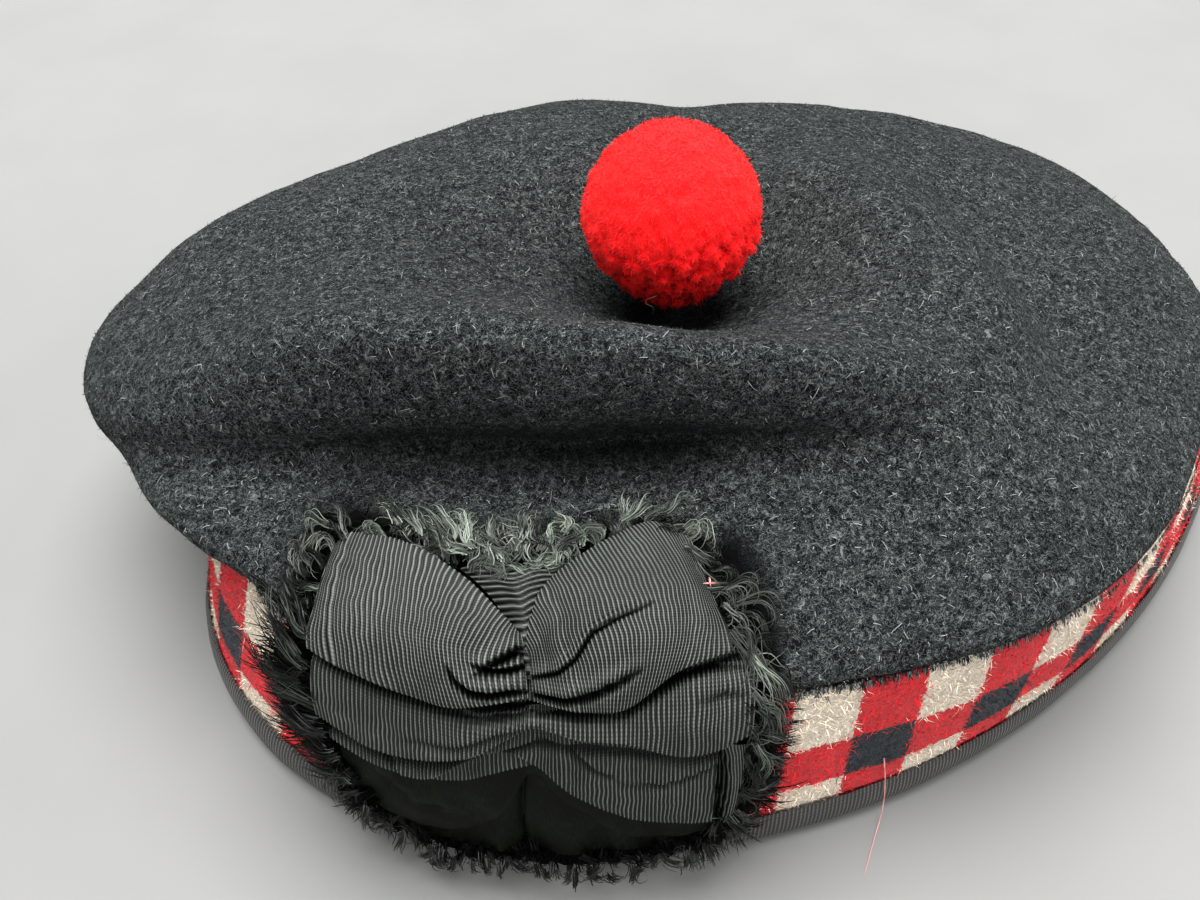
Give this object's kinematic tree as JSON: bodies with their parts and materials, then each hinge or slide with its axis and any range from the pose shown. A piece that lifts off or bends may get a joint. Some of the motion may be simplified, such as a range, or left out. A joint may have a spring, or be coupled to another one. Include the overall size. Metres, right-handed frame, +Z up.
{
  "type": "tam o shanter",
  "caption": "Felted wool tam o shanter: soft overhanging crown, diced headband with ribbon binding, pleated ribbon cockade with frayed edge, round toorie on top.",
  "frame": {"origin": "centre of the bounding box, on the surface that the headband's binding rests on", "axes": "+Z up, +X along the long axis of the head opening with the overhanging tip towards -X, and the cockade on the -X -Y side"},
  "size_m": [0.2196, 0.1558, 0.0692],
  "materials": {
    "navy_felt": "milled wool felt with short pale fibres",
    "diced_wool": "knitted and milled wool, diced in white, red and navy",
    "grey_grosgrain": "ribbed ribbon",
    "red_wool": "cut wool pile",
    "black_grosgrain": "ribbed ribbon with a soft sheen",
    "black_silk": "smooth dark ribbon",
    "black_thread": "frayed crimped thread"
  },
  "bodies": {
    "root": {"crown": "navy_felt", "diced_band": "diced_wool", "edge_binding": "grey_grosgrain", "toorie": "red_wool", "cockade_bow": "black_grosgrain", "cockade_leaves": "black_silk", "cockade_fringe": "black_thread"}
  },
  "joints": []
}
